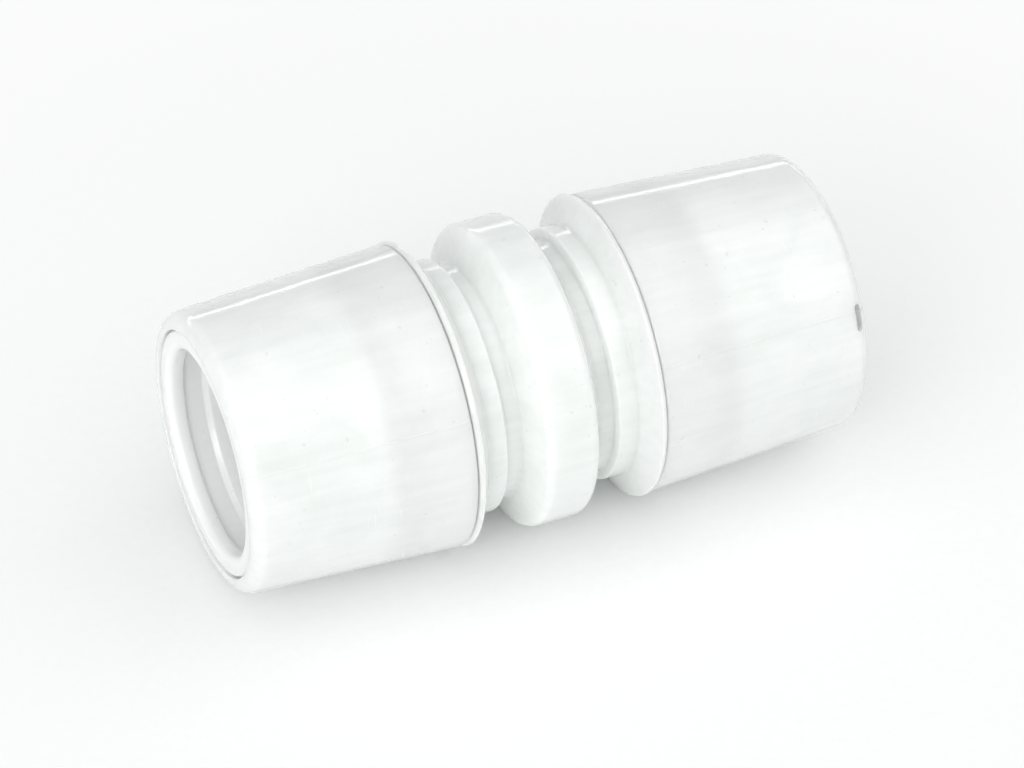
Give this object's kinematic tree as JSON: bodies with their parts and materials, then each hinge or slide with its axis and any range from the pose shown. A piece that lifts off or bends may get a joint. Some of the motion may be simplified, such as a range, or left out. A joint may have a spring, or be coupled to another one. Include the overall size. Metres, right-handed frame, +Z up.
{
  "type": "push fit coupling",
  "caption": "Straight push fit plumbing coupling that joins two plain pipes end to end, with twist-to-lock caps and release collets around a ringed waist.",
  "frame": {"origin": "centre of the coupling on its axis, midway between its two mouths, at the middle of the pipe stop", "axes": "+X along the coupling's axis towards its right mouth, +Z up as it lies on its side, +Y towards the back"},
  "size_m": [0.07, 0.0332, 0.0332],
  "materials": {
    "natural_polymer": "smooth, milky, slightly translucent moulded polymer",
    "cap_polymer": "smooth, milky, slightly translucent moulded polymer",
    "collet_polymer": "smooth, milky moulded polymer",
    "washer_polymer": "matt moulded polymer",
    "silicone": "pale translucent silicone, satin",
    "stainless": "stamped stainless strip"
  },
  "bodies": {
    "fitting": {"body": "natural_polymer", "seal_ring_right": "silicone", "seal_ring_left": "silicone"},
    "washer_right": {"thrust_washer_right": "washer_polymer"},
    "cap_right": {"cap_right": "cap_polymer"},
    "collet_right": {"collet_right": "collet_polymer", "collet_tooth_right_1": "stainless", "collet_tooth_right_2": "stainless", "collet_tooth_right_3": "stainless", "collet_tooth_right_4": "stainless", "collet_tooth_right_5": "stainless", "collet_tooth_right_6": "stainless", "collet_tooth_right_7": "stainless", "collet_tooth_right_8": "stainless"},
    "washer_left": {"thrust_washer_left": "washer_polymer"},
    "cap_left": {"cap_left": "cap_polymer"},
    "collet_left": {"collet_left": "collet_polymer", "collet_tooth_left_1": "stainless", "collet_tooth_left_2": "stainless", "collet_tooth_left_3": "stainless", "collet_tooth_left_4": "stainless", "collet_tooth_left_5": "stainless", "collet_tooth_left_6": "stainless", "collet_tooth_left_7": "stainless", "collet_tooth_left_8": "stainless"}
  },
  "joints": [
    {"name": "cap_travel_right", "type": "slide", "parent": "fitting", "child": "washer_right", "axis": [1, 0, 0], "range_m": [0, 0.0004]},
    {"name": "cap_twist_right", "type": "hinge", "parent": "washer_right", "child": "cap_right", "pos_m": [0.02, 0, 0], "axis": [1, 0, 0], "range_deg": [0, 90]},
    {"name": "collet_release_right", "type": "slide", "parent": "washer_right", "child": "collet_right", "axis": [-1, 0, 0], "range_m": [0, 0.0018]},
    {"name": "cap_travel_left", "type": "slide", "parent": "fitting", "child": "washer_left", "axis": [-1, 0, 0], "range_m": [0, 0.0004]},
    {"name": "cap_twist_left", "type": "hinge", "parent": "washer_left", "child": "cap_left", "pos_m": [-0.02, 0, 0], "axis": [-1, 0, 0], "range_deg": [0, 90]},
    {"name": "collet_release_left", "type": "slide", "parent": "washer_left", "child": "collet_left", "axis": [1, 0, 0], "range_m": [0, 0.0018]}
  ],
  "couplings": [
    {"joint": "cap_travel_right", "follows": "cap_twist_right", "m_per_rad": 0.0002546},
    {"joint": "cap_travel_left", "follows": "cap_twist_left", "m_per_rad": 0.0002546}
  ]
}
